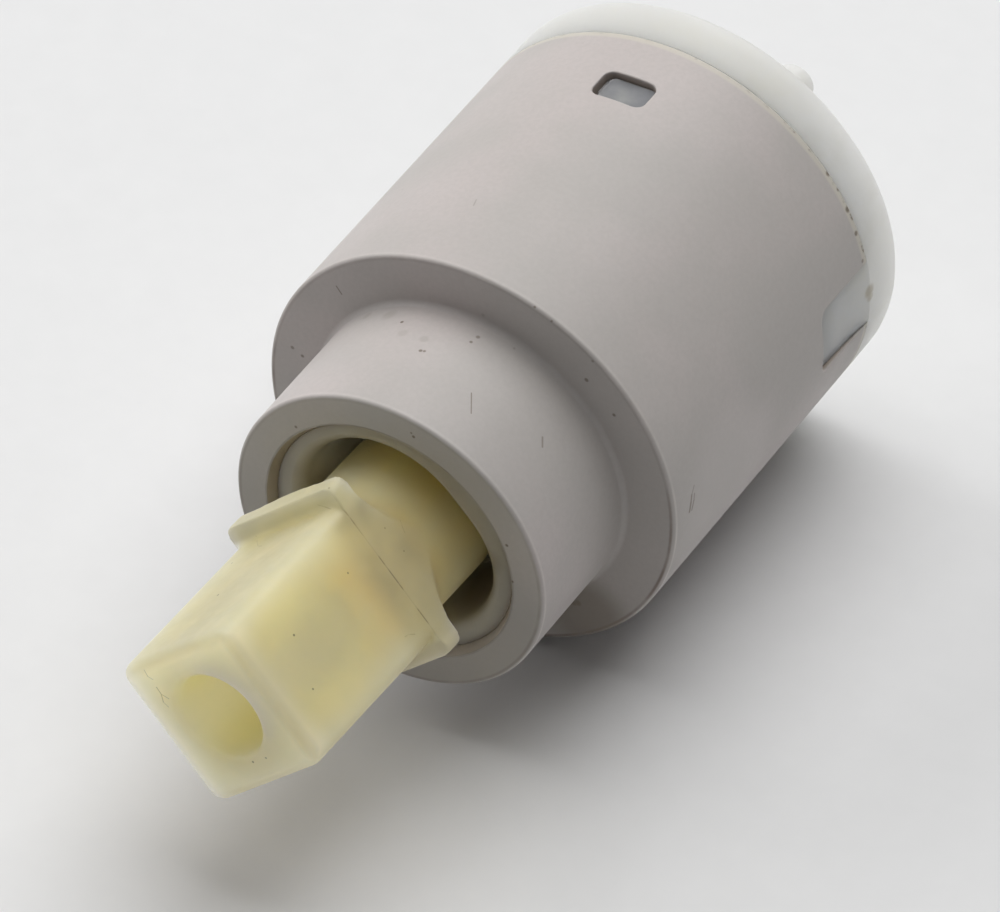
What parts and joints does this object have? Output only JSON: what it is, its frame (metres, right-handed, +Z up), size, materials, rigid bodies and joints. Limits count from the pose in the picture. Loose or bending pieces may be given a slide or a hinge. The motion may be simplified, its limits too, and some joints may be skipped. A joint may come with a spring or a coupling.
{
  "type": "faucet cartridge",
  "caption": "Single-lever mixer tap cartridge: grey cylindrical housing with a neck and a keyed white base, and a square plastic spindle that turns and tilts over ceramic discs.",
  "frame": {"origin": "on the cartridge axis, at the face of the base that seats on the floor of the faucet body", "axes": "the cartridge lies on its side: +Y runs along its axis from the spindle to the base, +Z is up, and +X is across"},
  "size_m": [0.04, 0.0816, 0.04],
  "materials": {
    "housing_plastic": "moulded glass-filled plastic, warm light grey, satin",
    "base_plastic": "moulded white acetal, slightly translucent",
    "spindle_plastic": "moulded natural nylon, pale yellow ivory, slightly translucent",
    "guide_plastic": "moulded plastic, warm grey",
    "pin_steel": "ground stainless steel",
    "slide_plastic": "low-friction plastic, off-white",
    "carrier_plastic": "moulded acetal, off-white",
    "disc_ceramic": "lapped alumina ceramic, off-white",
    "seal_rubber": "black nitrile rubber, smooth"
  },
  "bodies": {
    "housing_body": {"housing": "housing_plastic", "base": "base_plastic", "slide_ring": "slide_plastic", "fixed_disc": "disc_ceramic", "disc_gasket": "seal_rubber", "hot_inlet_seal": "seal_rubber", "cold_inlet_seal": "seal_rubber", "outlet_seal": "seal_rubber"},
    "guide": {"spindle_guide": "guide_plastic", "pivot_pin": "pin_steel", "friction_ring": "seal_rubber"},
    "lever": {"spindle": "spindle_plastic"},
    "carrier": {"disc_carrier": "carrier_plastic", "carrier_seal": "seal_rubber", "moving_disc": "disc_ceramic"}
  },
  "joints": [
    {"name": "spindle_turn", "type": "hinge", "parent": "housing_body", "child": "guide", "pos_m": [0, 0, 0], "axis": [0, -1, 0], "range_deg": [-46, 54]},
    {"name": "spindle_tilt", "type": "hinge", "parent": "guide", "child": "lever", "pos_m": [0, -0.041, 0], "axis": [0.7254, 0, 0.6884], "range_deg": [-11, 14]},
    {"name": "carrier_slide", "type": "slide", "parent": "guide", "child": "carrier", "axis": [0.6884, 0, -0.7254], "range_m": [-0.0039, 0.0031]}
  ],
  "couplings": [
    {"joint": "carrier_slide", "follows": "spindle_tilt", "m_per_rad": -0.01568}
  ]
}
